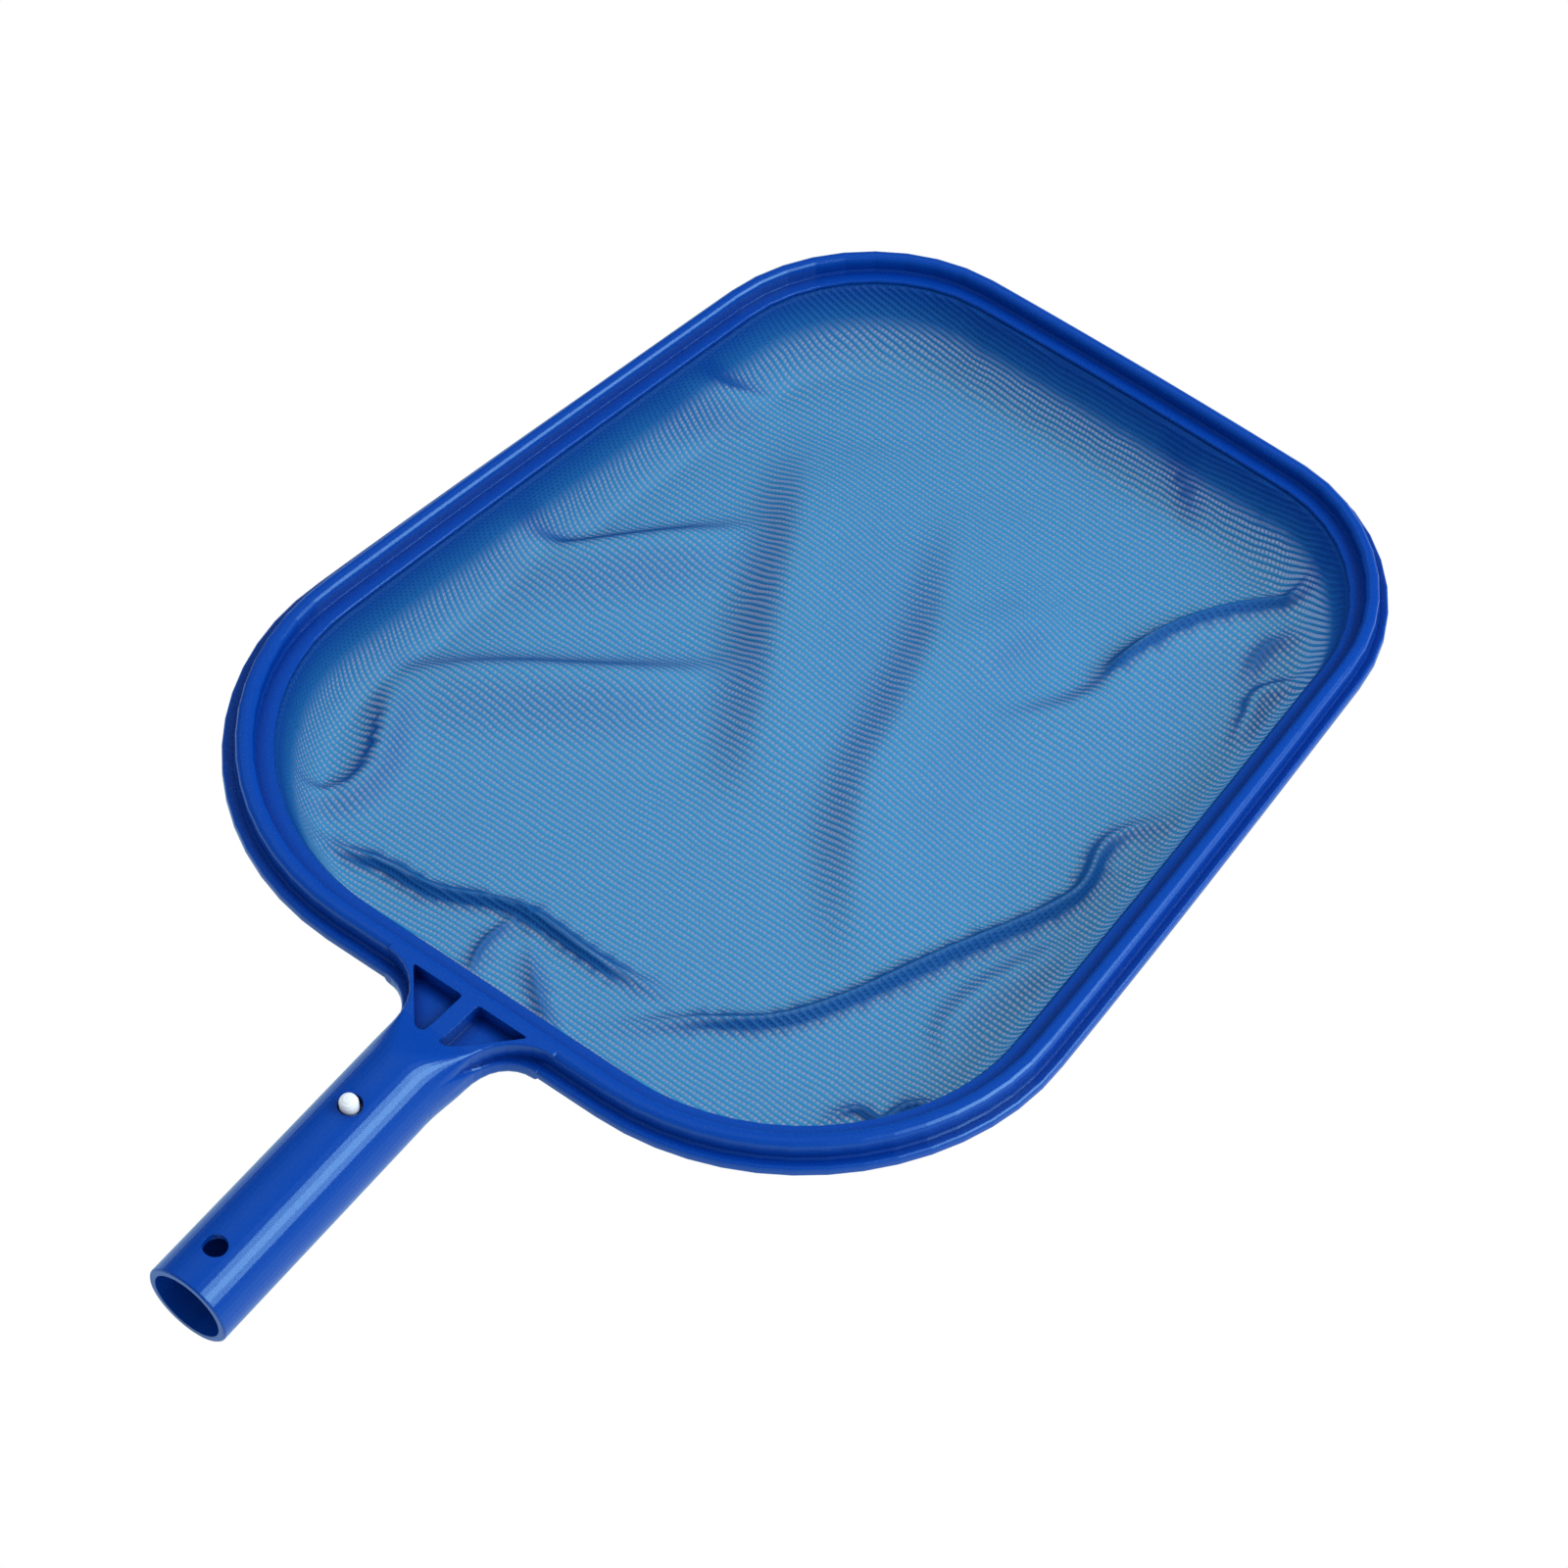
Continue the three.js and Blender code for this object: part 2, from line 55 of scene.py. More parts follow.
def rounded_corner(corner, before, after, radius, steps):
    """Points of the arc that rounds one corner of a polygon."""
    back, on = (before - corner).normalized(), (after - corner).normalized()
    half = math.acos(back.dot(on)) / 2
    centre = corner + (back + on).normalized() * radius / math.sin(half)
    reach = radius / math.tan(half)
    first, last = corner + back * reach - centre, corner + on * reach - centre
    start = math.atan2(first.y, first.x)
    turn = (math.atan2(last.y, last.x) - start) % (2 * math.pi)
    angles = [start + turn * i / steps for i in range(steps + 1)]
    return [centre + Vector((math.cos(a), math.sin(a))) * radius for a in angles]


def evenly(points, count):
    """The closed line through points, cut into count equal steps."""
    loop = points + points[:1]
    lengths = [(b - a).length for a, b in zip(loop, loop[1:])]
    step = sum(lengths) / count
    out, i, used = [], 0, 0.0
    for k in range(count):
        goal = k * step
        while used + lengths[i] < goal:
            used += lengths[i]
            i += 1
        out.append(loop[i].lerp(loop[i + 1], (goal - used) / lengths[i]))
    return out


def bowed(point):
    """A point of the outline, moved out by the bow of the long sides and the leading edge."""
    along = 2 * point.x / HEAD["length"] - 1
    across = point.y / HEAD["near_half"]
    y = point.y + math.copysign(SIDE_BOW * (1 - along**2) * abs(across) ** 3, across)
    x = point.x + FAR_BOW * (1 - across**2) * max(along, 0) ** 3
    return Vector((x, y))


def outline(count):
    """count (point, inward direction, share of the full band width) round the head."""
    near, far = HEAD["near_half"], HEAD["far_half"]
    corners = [(0, -near), (HEAD["length"], -far), (HEAD["length"], far), (0, near)]
    corners = [Vector(c) for c in corners]
    radii = [HEAD["near_corner"], HEAD["far_corner"], HEAD["far_corner"], HEAD["near_corner"]]
    points = []
    for i, corner in enumerate(corners):
        after = corners[(i + 1) % 4]
        points += rounded_corner(corner, corners[i - 1], after, radii[i], CORNER_STEPS)
    points = [bowed(p) for p in evenly(points, count)]
    stations = []
    for i, point in enumerate(points):
        along = (points[(i + 1) % count] - points[i - 1]).normalized()
        share = 1 + (FAR_SHARE - 1) * point.x / HEAD["length"]
        stations.append((point, Vector((-along.y, along.x)), share))
    return stations


def inset_loop(count, in_band, past_band=0.0):
    """The outline moved in, in the part's frame, in millimetres."""
    loop = [p + n * (in_band * share + past_band) for p, n, share in outline(count)]
    return [Vector((p.x + NEAR_EDGE_X, p.y)) for p in loop]


# ---- Net (millimetres, in the part's frame) ----------------------------------------------------
NET_THICKNESS = 0.14
HEM_GRIP = 3.4  # how far the hem reaches into the band
HEM_TOP_Z = UNDERSIDE_Z + 2.35
FLOOR_Z = 0.45
WALL_FROM = 1.2  # how far inside the band the wall turns down
FOOT_CURVE = 2.2  # how hollow the wall is: 1 would be a straight slope

# How far the bag's wall runs in before it meets the floor, at eight places round the rim, from
# the handle side by the right.
WALL_RUN = (15, 17, 15, 17, 14, 16, 14, 17)

# Folds: the crest from end to end (part's frame), its height, and its half width on the left and
# on the right of that direction. All in millimetres.
FOLDS = {
    "wave": ([(170, 82), (136, 61), (96, 38), (58, 15), (22, -7)], 12, 36, 14),
    "second_wave": ([(180, 27), (123, -5), (85, -19), (53, -29), (24, -49), (-6, -76)], 9, 30, 12),
    "valley": ([(216, -93), (184, -69), (156, -58), (129, -56), (98, -38)], 6, 20, 5.5),
    "bright_fold": ([(157, -31), (141, -23), (124, -20), (107, -22)], 3.5, 9, 14),
    "near_crease": (
        [(-72, 104), (-63, 75), (-60, 52), (-49, 27), (-49, -5), (-44, -36)], 5, 2.4, 2.4
    ),
    "right_crease": (
        [(-72, -16), (-50, -39), (-27, -64), (21, -85), (64, -100), (92, -95), (121, -112)],
        6, 2.7, 2.7,
    ),
    "right_edge": ([(-14, -114), (-2, -102), (15, -101), (30, -105), (56, -112)], 4, 4.6, 8.0),
    "far_crease": ([(226, -94), (201, -77), (171, -60), (136, -51)], 5, 2.4, 3.4),
    "far_light": ([(228, -10), (211, -41)], 3, 2.6, 2.6),
    "left_crease": ([(54, 134), (67, 113), (88, 94), (122, 66)], 9, 6.5, 16.0),
    "left_fold": ([(-14, 128), (16, 95), (44, 59), (72, 30)], 9, 8.0, 18.0),
    "corner_fold": ([(-2, 118), (-18, 108), (-34, 100), (-49, 100), (-66, 113)], 6, 7.0, 4.0),
    "upper_fold": ([(118, 130), (142, 117), (172, 100)], 5, 3.0, 8.0),
    "near_pleat": ([(-46, 25), (-66, 28), (-86, 20)], 2.2, 1.8, 1.8),
    "near_pucker": ([(-56, 18), (-70, 4), (-84, -18)], 2.4, 2.2, 2.2),
    "right_pucker": (
        [(-56, -93), (-43, -99), (-42, -108), (-31, -111), (-20, -123)], 3, 1.8, 1.8
    ),
    "far_hook": ([(188, -110), (170, -96), (158, -98), (140, -104)], 4, 4.6, 3.0),
    "far_pleat": ([(199, -94), (190, -88), (180, -86), (163, -91)], 2.5, 2.2, 2.2),
}
FOLD_RISE = 1.5  # how much sooner a fold has its height than the wall has its run
SHELTER_CURVE = 2.5  # how soon the shade close under the rim ends
LOOSE = 0.15  # the slope that the cloth takes before it gathers and gets painted shade
PINCHED, PINCH_SHARE = 4.5, 0.8  # a fold this narrow is gathered and painted darker on its crest, and how much

# The sheet's points.
NET_STEP = 3.6  # of the field
RIM_POINTS, HEM_POINTS = 1440, 300  # of the edge that depths are measured from, and of a ring
RING_GAP, RING_COUNT = 1.7, 8  # of the rings down the wall
NARROW = 3.5  # a fold this narrow has rows of its own
FOLD_ROWS = (-2, -1, 0, 1, 2)
ROW_GAP, ROW_STEP = 1.1, NET_STEP * 0.8
FOLD_CLEAR = 4 * ROW_GAP  # how far the field stays off those rows


def eased(share):
    """0 to 1 with a level start and end."""
    share = min(max(share, 0.0), 1.0)
    return share * share * (3 - 2 * share)


def wall_run(inward):
    """The wall's run where the head's inward direction is this one."""
    turn = math.atan2(inward.y, inward.x) % (2 * math.pi) / (math.pi / 4)
    before = int(turn)
    share = eased(turn - before)
    return WALL_RUN[before % 8] * (1 - share) + WALL_RUN[(before + 1) % 8] * share


class Rim:
    """The head's inner edge, for asking how far inside it a place lies."""

    def __init__(self):
        stations = outline(RIM_POINTS)
        self.points = inset_loop(RIM_POINTS, BAND_WIDTH)
        self.inward = [inward for _, inward, _ in stations]
        self.runs = [wall_run(inward) for inward in self.inward]
        self.tree = KDTree(RIM_POINTS)
        for i, p in enumerate(self.points):
            self.tree.insert((p.x, p.y, 0), i)
        self.tree.balance()

    def depth(self, x, y):
        """(distance inside the edge, negative outside, and the wall's run there)."""
        _, i, away = self.tree.find((x, y, 0))
        side = (Vector((x, y)) - self.points[i]).dot(self.inward[i])
        return math.copysign(away, side), self.runs[i]


def smooth_line(points, steps=10):
    """A curve through a few points (Catmull-Rom)."""
    points = [Vector(p) for p in points]
    ends = [2 * points[0] - points[1], *points, 2 * points[-1] - points[-2]]
    line = []
    for a, b, c, d in zip(ends, ends[1:], ends[2:], ends[3:]):
        for t in np.arange(steps) / steps:
            bend = (2 * a - 5 * b + 4 * c - d) * t**2 + (3 * b - a - 3 * c + d) * t**3
            line.append((2 * b + (c - a) * t + bend) / 2)
    return np.array([tuple(p) for p in [*line, points[-1]]])


def from_line(places, line):
    """How far each place is from a line, its share of the line, and if it is left of it."""
    starts, runs = line[:-1], np.diff(line, axis=0)
    lengths = np.hypot(*runs.T)
    done = np.concatenate([[0], np.cumsum(lengths)])
    offset = places[:, None] - starts
    share = np.clip((offset * runs).sum(2) / lengths**2, 0, 1)
    gap = offset - share[..., None] * runs
    away = np.hypot(gap[..., 0], gap[..., 1])
    row, nearest = np.arange(len(places)), away.argmin(1)
    gap, along = gap[row, nearest], runs[nearest]
    left = along[:, 0] * gap[:, 1] > along[:, 1] * gap[:, 0]
    reached = (done[nearest] + share[row, nearest] * lengths[nearest]) / done[-1]
    return away[row, nearest], reached, left


def fold_shares(places, crest, left_width, right_width):
    """How much of a fold's height each place gets, fading at its ends, and how fast it falls."""
    away, reached, left = from_line(places, smooth_line(crest))
    width = np.where(left, left_width, right_width)
    share = (1 - np.abs(2 * reached - 1) ** 3) ** 1.5 * np.exp(-((away / width) ** 2))
    return share, share * 2 * away / width**2


def beside(line, gap, spacing):
    """Points along a line, set off to its left by a gap."""
    runs = np.diff(line, axis=0)
    lengths = np.hypot(*runs.T)
    done = np.concatenate([[0], np.cumsum(lengths)])
    at = np.arange(0, done[-1], spacing)
    normals = np.column_stack([-runs[:, 1], runs[:, 0]]) / lengths[:, None]
    piece = np.clip(np.searchsorted(done, at, side="right") - 1, 0, len(runs) - 1)
    centre = line[piece] + runs[piece] * ((at - done[piece]) / lengths[piece])[:, None]
    return centre + normals[piece] * gap


def net_points(rim):
    """Places of the sheet's points: rings by the rim, rows on the narrow folds, then a field."""
    insets = [(BAND_WIDTH - HEM_GRIP, 0), (BAND_WIDTH, 0.2), (BAND_WIDTH, WALL_FROM)]
    insets += [(BAND_WIDTH, WALL_FROM + k * RING_GAP) for k in range(1, RING_COUNT + 1)]
    ring_depth = insets[-1][1] + NET_STEP / 2
    points = [tuple(p) for band, past in insets for p in inset_loop(HEM_POINTS, band, past)]
    lines = [smooth_line(fold[0]) for fold in FOLDS.values() if min(fold[2:]) < NARROW]
    for line in lines:
        for row in FOLD_ROWS:
            near = beside(line, row * ROW_GAP, ROW_STEP)
            points += [tuple(p) for p in near if rim.depth(*p)[0] > ring_depth]
    low, high = np.min(rim.points, axis=0), np.max(rim.points, axis=0)
    field_row = NET_STEP * math.sqrt(3) / 2
    field = [
        (x + (r % 2) * NET_STEP / 2, y)
        for r, y in enumerate(np.arange(low[1], high[1], field_row))
        for x in np.arange(low[0], high[0], NET_STEP)
    ]
    away = np.min([from_line(np.array(field), line)[0] for line in lines], axis=0)
    clear = away > FOLD_CLEAR
    return points + [p for p, c in zip(field, clear) if c and rim.depth(*p)[0] > ring_depth]


def bag_heights(places, rim):
    """At each place of the bag: its height, how much painted shade it gets close under the rim,
    and how gathered and shaded it is.

    The cloth gathers, and gets painted shade, on the steep faces of the folds, and right across a
    narrow one."""
    lift, gather_and_shade = np.zeros(len(places)), np.zeros(len(places))
    for crest, height, left_width, right_width in FOLDS.values():
        share, steepness = fold_shares(places, crest, left_width, right_width)
        lift += height * share
        # Steep fold faces gather and get painted shade.
        gather_and_shade += np.clip(height * steepness - LOOSE, 0, 1)
        if max(left_width, right_width) < PINCHED:
            gather_and_shade = np.maximum(gather_and_shade, share * PINCH_SHARE)
    drop = HEM_TOP_Z - FLOOR_Z
    heights, rim_shade = [], []
    for (x, y), fold in zip(places, lift):
        depth, run = rim.depth(x, y)
        share = min(max(depth - WALL_FROM, 0) / run, 1)
        wall = FLOOR_Z + drop * (1 - share) ** FOOT_CURVE
        heights.append(max(wall + fold * eased(share * FOLD_RISE), FLOOR_Z))
        # Painted shade close under the rim, strongest at the hem.
        rim_shade.append((1 - share) ** SHELTER_CURVE)
    return heights, rim_shade, np.minimum(gather_and_shade, 1)


def bag_mesh():
    """The net in its shape, as one sheet of triangles."""
    rim = Rim()
    points = [Vector(p) for p in net_points(rim)]
    edges = [(i, (i + 1) % HEM_POINTS) for i in range(HEM_POINTS)]
    made = delaunay_2d_cdt(points, edges, [], 1, 1e-4)
    places = np.array([tuple(p) for p in made[0]])
    heights, rim_shade, gather_and_shade = bag_heights(places, rim)
    corners = np.column_stack([places, heights]) * MM
    mesh = bpy.data.meshes.new("net")
    mesh.from_pydata(corners.tolist(), [], made[2])
    # Painted shade under the rim and on the folds, carried to the net's material.
    mesh.attributes.new("rim_shade", "FLOAT", "POINT").data.foreach_set("value", rim_shade)
    mesh.attributes.new("gather_and_shade", "FLOAT", "POINT").data.foreach_set("value", gather_and_shade)
    net = bpy.data.objects.new("net", mesh)
    bpy.context.collection.objects.link(net)
    return net


def flatten(net):
    """Lays the bag out flat into its UV layer, in millimetres, turned the way the bag lies."""
    mesh = net.data
    layer = mesh.uv_layers.new(name="cut")
    for loop in mesh.loops:
        layer.uv[loop.index].vector = mesh.vertices[loop.vertex_index].co.xy
    bpy.context.view_layer.objects.active = net
    net.select_set(True)
    bpy.ops.object.mode_set(mode="EDIT")
    bpy.ops.mesh.select_all(action="SELECT")
    bpy.ops.uv.unwrap(method="MINIMUM_STRETCH", iterations=20, margin=0)
    bpy.ops.object.mode_set(mode="OBJECT")
    net.select_set(False)
    layer = mesh.uv_layers["cut"]
    count = len(mesh.loops)
    flat, owner = np.empty(count * 2), np.empty(count, int)
    place = np.empty(len(mesh.vertices) * 3)
    layer.uv.foreach_get("vector", flat)
    mesh.loops.foreach_get("vertex_index", owner)
    mesh.vertices.foreach_get("co", place)

    # As complex numbers, a product with a conjugate gives the turn between flat and place.
    flat = flat.reshape(-1, 2) @ (1, 1j)
    place = (place.reshape(-1, 3)[owner] / MM)[:, :2] @ (1, 1j)
    flat, place = flat - flat.mean(), place - place.mean()
    plain, mirrored = (flat.conj() * place).sum(), (flat * place).sum()
    if abs(mirrored) > abs(plain):
        flat, plain = flat.conj(), mirrored

    faces = flat.reshape(-1, 3)
    sides = faces[:, 1:] - faces[:, :1]
    flat_area = abs((sides[:, 0].conj() * sides[:, 1]).imag).sum() / 2
    real_area = sum(p.area for p in mesh.polygons) / MM**2
    flat = flat * plain / abs(plain) * math.sqrt(real_area / flat_area)
    layer.uv.foreach_set("vector", np.column_stack([flat.real, flat.imag]).ravel())


net = bag_mesh()
flatten(net)
net.modifiers.new("smooth", "SUBSURF").render_levels = 1
net.modifiers["smooth"].levels = 1
skin = net.modifiers.new("skin", "SOLIDIFY")
skin.thickness = NET_THICKNESS * MM
skin.offset = 0
net.data.shade_smooth()
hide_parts("net_bag")
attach(net, "skimmer")


# ---- Materials ---------------------------------------------------------------------------------
class Shading:
    """A new node material, with short ways to add and join its nodes."""

    def __init__(self, name):
        self.material = bpy.data.materials.new(name)
        self.material.use_nodes = True
        self.nodes = self.material.node_tree.nodes
        self.links = self.material.node_tree.links
        self.shader = self.nodes["Principled BSDF"]

    def set(self, socket, value):
        """Gives a socket a value, or joins another node's output to it."""
        if isinstance(value, bpy.types.NodeSocket):
            self.links.new(value, socket)
        elif value is not None:
            socket.default_value = value

    def node(self, kind, output=0, **inputs):
        """Adds a node and returns one output; inputs go by name, with _ for a space."""
        made = self.nodes.new("ShaderNode" + kind)
        for name, value in inputs.items():
            self.set(made.inputs[name.replace("_", " ")], value)
        return made.outputs[output]

    def math(self, operation, *values, clamp=False):
        """A Math node on sockets or numbers."""
        made = self.nodes.new("ShaderNodeMath")
        made.operation, made.use_clamp = operation, clamp
        for socket, value in zip(made.inputs, values):
            self.set(socket, value)
        return made.outputs[0]

    def mix(self, share, a, b):
        """A colour between a and b."""
        made = self.nodes.new("ShaderNodeMix")
        made.data_type = "RGBA"
        self.set(made.inputs["Factor"], share)
        for name, value in (("A", a), ("B", b)):
            socket = [s for s in made.inputs if s.name == name and s.type == "RGBA"][0]
            self.set(socket, value if isinstance(value, bpy.types.NodeSocket) else (*value, 1))
        return [s for s in made.outputs if s.type == "RGBA"][0]

    def corner_shade(self, reach_mm, power):
        """The light left after painted shade: 1 in the open, towards 0 in corners narrower than
        the reach.
        """
        open_share = self.node("AmbientOcclusion", "AO", Distance=reach_mm * MM)
        open_share.node.samples = 4
        return self.math("POWER", open_share, power)

    def bump(self, height, depth_mm, strength=1.0, normal=None):
        """A normal roughened by a height."""
        depth = depth_mm * MM
        return self.node("Bump", Height=height, Distance=depth, Strength=strength, Normal=normal)

    def thin(self, through, share, **inputs):
        """A finish through which a share of the light passes."""
        made = self.finish(**inputs)
        both = self.nodes.new("ShaderNodeMixShader")
        clear = self.node("BsdfTransparent", "BSDF")
        veiled = self.nodes.new("ShaderNodeMixShader")
        for socket, value in zip(veiled.inputs, (inputs["Alpha"], clear, through)):
            self.set(socket, value)
        for socket, value in zip(both.inputs, (share, self.shader.outputs[0], veiled.outputs[0])):
            self.set(socket, value)
        output = [n for n in self.nodes if n.type == "OUTPUT_MATERIAL"][0]
        self.set(output.inputs["Surface"], both.outputs[0])
        return made

    def finish(self, **inputs):
        """Sets the shader's own inputs, by name, and returns the material."""
        for name, value in inputs.items():
            if isinstance(value, tuple):
                value = (*value, 1)
            self.set(self.shader.inputs[name.replace("_", " ")], value)
        return self.material


GLOSS_SPREAD = 0.12  # how much a moulding's roughness varies


def moulded(name, colour, shade_colour, roughness, specular, edge_mm, shade_reach_mm):
    """Moulded plastic: painted shade in its corners, with soft edges and a faintly uneven skin."""
    s = Shading(name)
    place = s.node("TexCoord", "Object")
    grain = s.node("TexNoise", "Fac", Vector=place, Scale=900.0, Detail=2.0)
    waves = s.node("TexNoise", "Fac", Vector=place, Scale=60.0, Detail=2.0)
    rounded = s.node("Bevel", Radius=edge_mm * MM)
    rounded.node.samples = 4
    skin = s.bump(waves, depth_mm=0.12, strength=0.5, normal=rounded)
    skin = s.bump(grain, depth_mm=0.015, strength=0.5, normal=skin)
    gloss = s.math("MULTIPLY_ADD", grain, GLOSS_SPREAD, roughness - GLOSS_SPREAD / 2)
    # Painted shade: the colour darkens towards the darker colour in corners and recesses, by
    # ambient occlusion.
    tint = s.mix(s.corner_shade(shade_reach_mm, power=1.6), shade_colour, colour)
    return s.finish(
        Base_Color=tint,
        Roughness=gloss,
        Specular_IOR_Level=specular,
        Specular_Tint=(0.5, 0.85, 1.0),
        Normal=skin,
    )


def brushed_steel(name):
    """Spring steel strip, its grain along the strip."""
    s = Shading(name)
    place = s.node("TexCoord", "Object")
    stretched = s.node("Mapping", Vector=place, Scale=(40.0, 2400.0, 40.0))
    grain = s.node("TexNoise", "Fac", Vector=stretched, Scale=1.0, Detail=3.0)
    gloss = s.math("MULTIPLY_ADD", grain, 0.25, 0.22)
    tint = s.mix(grain, (0.42, 0.44, 0.46), (0.62, 0.64, 0.66))
    skin = s.bump(grain, depth_mm=0.02, strength=0.6)
    return s.finish(Base_Color=tint, Metallic=1.0, Roughness=gloss, Normal=skin)


# Weave of the net, in millimetres and shares.
ROW_PITCH, CROSS_PITCH = 2.1, 1.5
ROW_COVER, CROSS_COVER = 0.56, 0.44  # share of the pitch that a thread covers
CROSS_ALPHA, HOLE_ALPHA = 0.82, 0.58  # how solid a crossing thread and a hole look
CROSS_HEIGHT = 0.6  # of a crossing thread, beside a row's
THREAD_EDGE = 2.5  # how crisp a thread's edge is
WANDER, WANDER_SCALE = 3.0, 0.05  # how far the threads stray, and how tightly
RIM_SHADE_CLOSES = 1.6  # how soon the holes close under the rim, so that the floor seen through them looks shaded: painted shade
GATHER_SHADE = 0.75  # how much of the lit colour is taken off where the cloth is gathered: painted shade on the folds' steep faces, partly the denser cloth of the gathers
LET_THROUGH = 0.5  # share of the light that passes through the cloth


def weave(name, lit, shade_colour):
    """Woven net in the flat cut's coordinates: two families of threads, open between them.

    Where the bag hangs steep under the rim or is pinched into a fold the threads close up and the
    colour is painted darker: painted shade, partly the denser cloth of the folds."""
    s = Shading(name)
    split = s.nodes.new("ShaderNodeSeparateXYZ")
    at = s.nodes.new("ShaderNodeUVMap")
    at.uv_map = "cut"
    wander = s.node("TexNoise", "Color", Vector=at.outputs[0], Scale=WANDER_SCALE, Detail=2.0)
    shifted = s.nodes.new("ShaderNodeVectorMath")
    shifted.operation = "MULTIPLY_ADD"
    s.set(shifted.inputs[0], wander)
    shifted.inputs[1].default_value = (WANDER, WANDER, 0.0)
    s.set(shifted.inputs[2], at.outputs[0])
    s.set(split.inputs[0], shifted.outputs[0])

    def threads(coordinate, pitch, cover):
        """(roundness, solid) of one family: both 1 on a thread's crest, solid 0 off it."""
        wave = s.math("COSINE", s.math("MULTIPLY", coordinate, 2 * math.pi / pitch))
        edge = math.cos(math.pi * cover)
        solid = s.math("MULTIPLY", s.math("SUBTRACT", wave, edge), THREAD_EDGE, clamp=True)
        return s.math("MULTIPLY_ADD", wave, 0.5, 0.5), solid

    def measured(attribute):
        """A value that the net's points carry."""
        made = s.nodes.new("ShaderNodeAttribute")
        made.attribute_name = attribute
        return made.outputs["Fac"]

    rows, row_solid = threads(split.outputs["X"], ROW_PITCH, ROW_COVER)
    crosses, cross_solid = threads(split.outputs["Y"], CROSS_PITCH, CROSS_COVER)
    over = s.math("MAXIMUM", rows, s.math("MULTIPLY", crosses, CROSS_HEIGHT))
    solid = s.math("MAXIMUM", row_solid, s.math("MULTIPLY", cross_solid, CROSS_ALPHA))
    rim_shade, gather_and_shade = measured("rim_shade"), measured("gather_and_shade")
    # Holes close under the rim so that the floor seen through them looks shaded: painted shade.
    shut = s.math("MULTIPLY", rim_shade, RIM_SHADE_CLOSES, clamp=True)
    closed = s.math("MAXIMUM", shut, gather_and_shade)
    cover = s.math("MAXIMUM", s.math("MAXIMUM", solid, closed), HOLE_ALPHA)
    # Painted light and shade: thread crests lighter than the gaps between them, painted shade
    # close under the rim and on the folds' steep faces.
    lit_share = s.math("MULTIPLY_ADD", over, 0.5, 0.5)
    lit_share = s.math("MULTIPLY", lit_share, s.math("SUBTRACT", 1.0, rim_shade))
    lit_share = s.math("MULTIPLY", lit_share, s.math("MULTIPLY_ADD", gather_and_shade, -GATHER_SHADE, 1.0))
    tint = s.mix(lit_share, shade_colour, lit)
    skin = s.bump(over, depth_mm=0.35, strength=0.8)
    through = s.node("BsdfTranslucent", "BSDF", Color=tint)
    return s.thin(
        through,
        LET_THROUGH,
        Base_Color=tint,
        Roughness=0.5,
        Specular_IOR_Level=0.25,
        Normal=skin,
        Alpha=cover,
    )


# Each plastic's darker colour is painted shade for its corners.
blue = moulded(
    "blue_plastic",
    colour=(0.0001, 0.046, 0.33),
    shade_colour=(0.0001, 0.006, 0.14),
    roughness=0.26,
    specular=0.6,
    edge_mm=0.5,
    shade_reach_mm=5,
)
white = moulded(
    "button_plastic",
    colour=(0.80, 0.80, 0.84),
    shade_colour=(0.25, 0.30, 0.45),
    roughness=0.4,
    specular=0.4,
    edge_mm=0.3,
    shade_reach_mm=2,
)
steel = brushed_steel("spring_steel")
# The thread colour in light, and its darker colour for painted shade.
mesh_cloth = weave("net_mesh", lit=(0.06, 0.42, 0.70), shade_colour=(0.001, 0.09, 0.44))
net.data.materials.append(mesh_cloth)


def dress(node, finish):
    """Gives a CAD node its material."""
    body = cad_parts[node]
    body.data.materials.clear()
    body.data.materials.append(finish)


dress("frame_and_socket", blue)
for name in ("upper_snap_button", "lower_snap_button"):
    dress(name, white)
for name in ("clip_bend", "clip_upper_arm", "clip_lower_arm"):
    dress(name, steel)

# ---- Floor, light and camera -------------------------------------------------------------------


def per_ray(shading, for_camera, for_gloss, for_others, output):
    """Gives camera rays, glossy rays and all other rays a shader each."""
    rays = shading.nodes.new("ShaderNodeLightPath")
    last = for_others
    for ray, shader in (("Is Glossy Ray", for_gloss), ("Is Camera Ray", for_camera)):
        mixed = shading.nodes.new("ShaderNodeMixShader")
        shading.set(mixed.inputs[0], rays.outputs[ray])
        shading.set(mixed.inputs[1], last)
        shading.set(mixed.inputs[2], shader)
        last = mixed.outputs[0]
    shading.set(output, last)


FLOOR_SIZE, FLOOR_DROP = 12, 0.0005  # just clear of the bag
bpy.ops.mesh.primitive_plane_add(size=FLOOR_SIZE, location=(0, 0, -FLOOR_DROP))
floor = bpy.context.object
floor.name = "floor"
paper = Shading("paper")
paper.finish(Base_Color=(0.85, 0.86, 0.88), Roughness=0.8)
per_ray(
    paper,
    paper.node("Emission", Strength=1.0),
    paper.node("Emission", Color=(0.6, 0.85, 1.0, 1.0), Strength=1.0),
    paper.shader.outputs[0],
    paper.nodes["Material Output"].inputs[0],
)
floor.data.materials.append(paper.material)

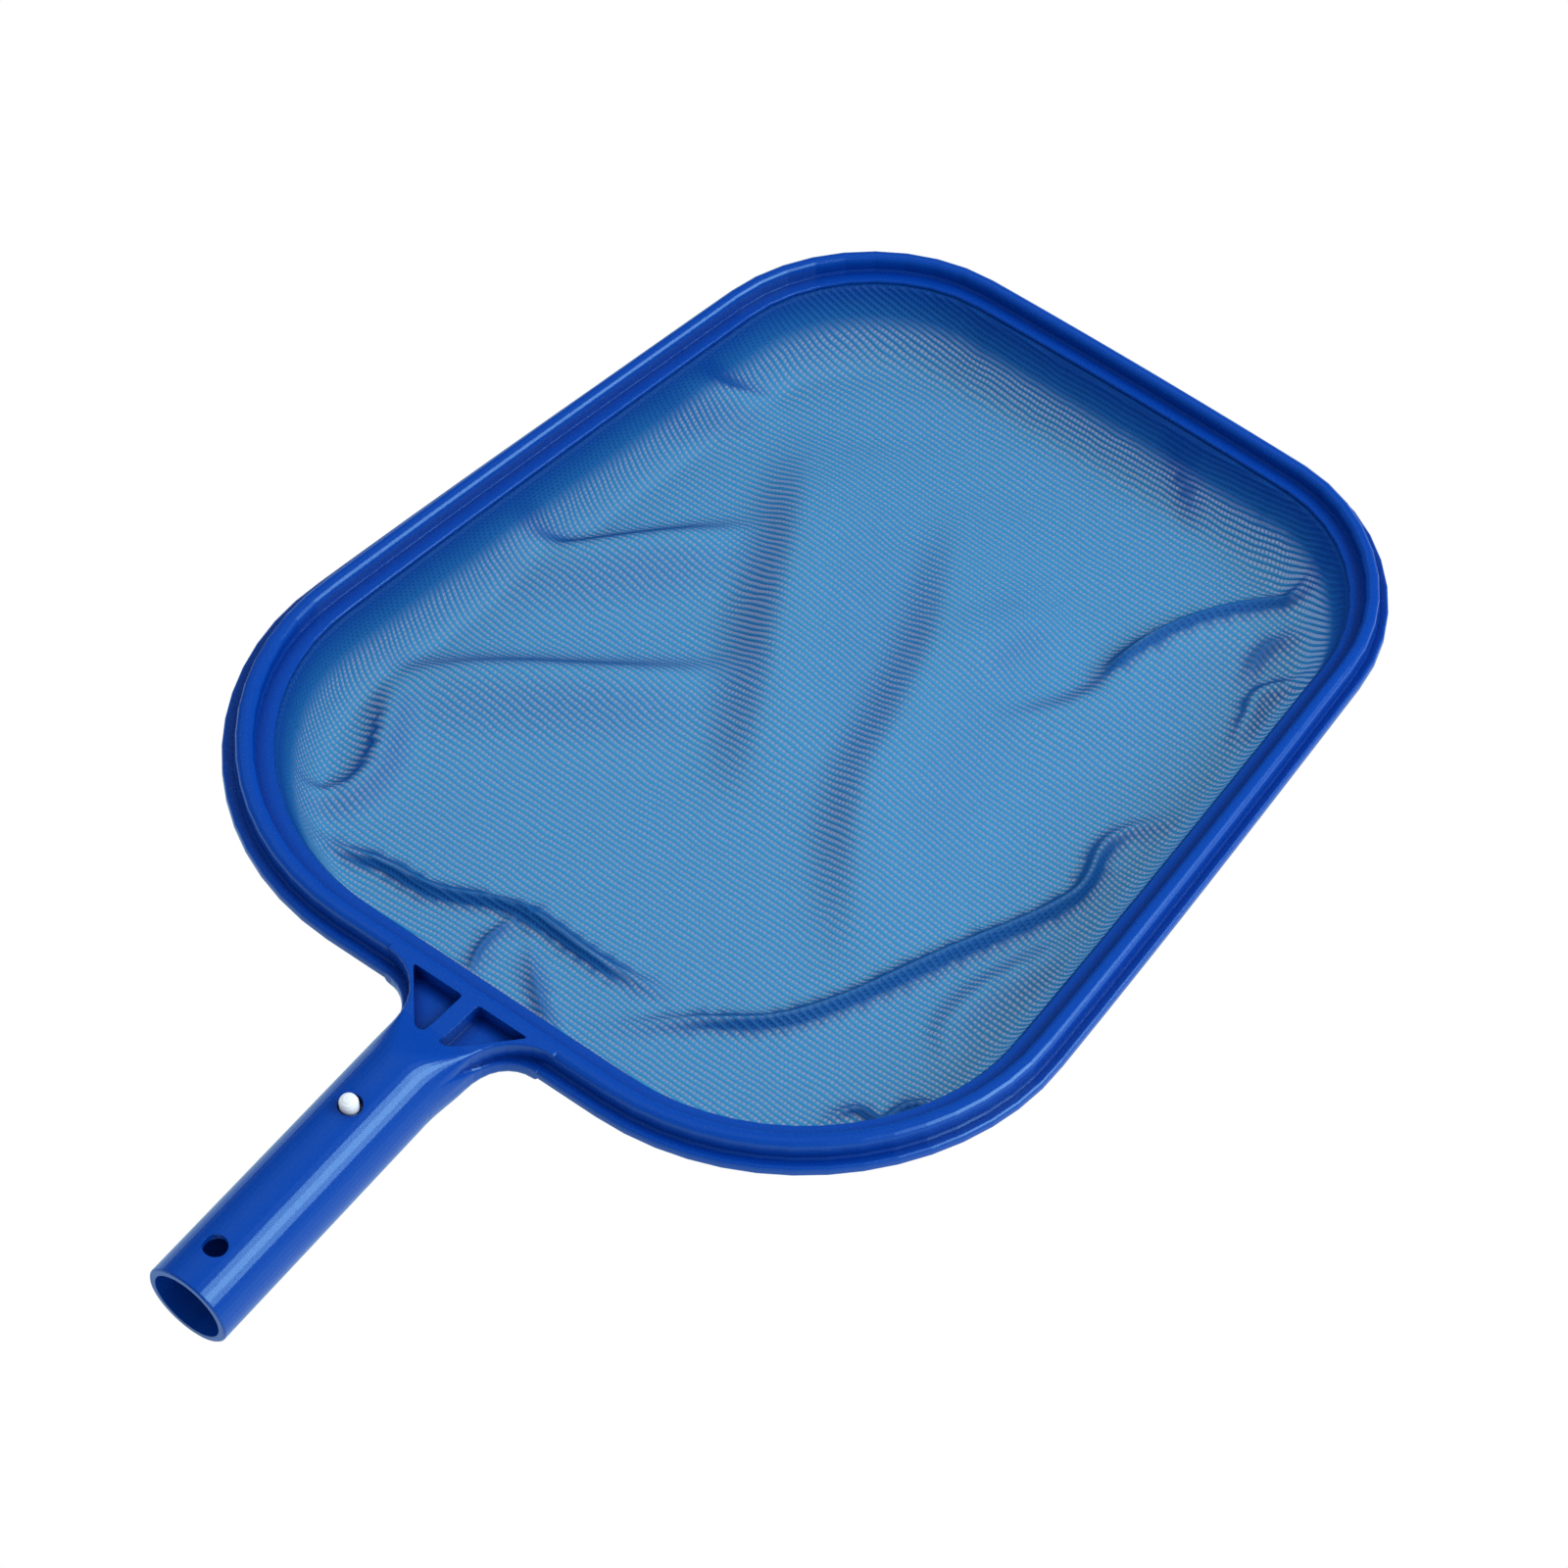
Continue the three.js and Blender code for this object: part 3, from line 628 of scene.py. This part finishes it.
scene = bpy.context.scene
scene.view_settings.view_transform = "Standard"
world = bpy.data.worlds.new("studio")
scene.world = world
world.use_nodes = True


class Sky(Shading):
    """The world's nodes, with the same short ways."""

    def __init__(self, tree):
        self.nodes, self.links = tree.nodes, tree.links


sky = Sky(world.node_tree)
per_ray(
    sky,
    sky.node("Background", Color=(1, 1, 1, 1), Strength=1.0),
    sky.node("Background", Color=(0.3, 0.6, 1.0, 1), Strength=0.06),
    sky.node("Background", Color=(0.95, 0.98, 1.0, 1), Strength=0.6),
    sky.nodes["World Output"].inputs[0],
)


LIGHT_COLOUR = (0.8, 0.95, 1.0)
LIGHT_DISTANCE = 2.2
LIT_POINT = Vector((0, 0, 0.03))


def softbox(name, direction, width, height, power):
    """An area light that faces the object from a direction."""
    light = bpy.data.lights.new(name, "AREA")
    light.shape = "RECTANGLE"
    light.size, light.size_y = width, height
    light.energy = power
    light.color = LIGHT_COLOUR
    lamp = bpy.data.objects.new(name, light)
    bpy.context.collection.objects.link(lamp)
    toward = Vector(direction).normalized()
    lamp.location = LIT_POINT + toward * LIGHT_DISTANCE
    lamp.rotation_mode = "QUATERNION"
    lamp.rotation_quaternion = toward.to_track_quat("Z", "Y")
    return lamp


softbox("key", (0.27, -0.70, 0.66), width=1.6, height=1.2, power=44)
top = softbox("top", (0.3, 0.5, 1.0), width=1.6, height=1.6, power=16)
top.visible_glossy = False

# The photograph's viewpoint, solved from the head's outline, the tube's edges and its holes.
camera = bpy.data.objects.new("camera", bpy.data.cameras.new("camera"))
bpy.context.collection.objects.link(camera)
camera.data.sensor_width = 36
camera.data.lens = 180
right, up, ahead = (
    Vector((0.6234, -0.7812, 0.0317)),
    Vector((0.5859, 0.4936, 0.6427)),
    Vector((0.5177, 0.3821, -0.7655)),
)
turn = Matrix((right, up, -ahead)).transposed()
camera.rotation_mode = "QUATERNION"
camera.rotation_quaternion = turn.to_quaternion()
camera.location = (-1.22371, -0.93773, 1.87450)
camera.data.clip_start, camera.data.clip_end = 0.1, 20
scene.camera = camera
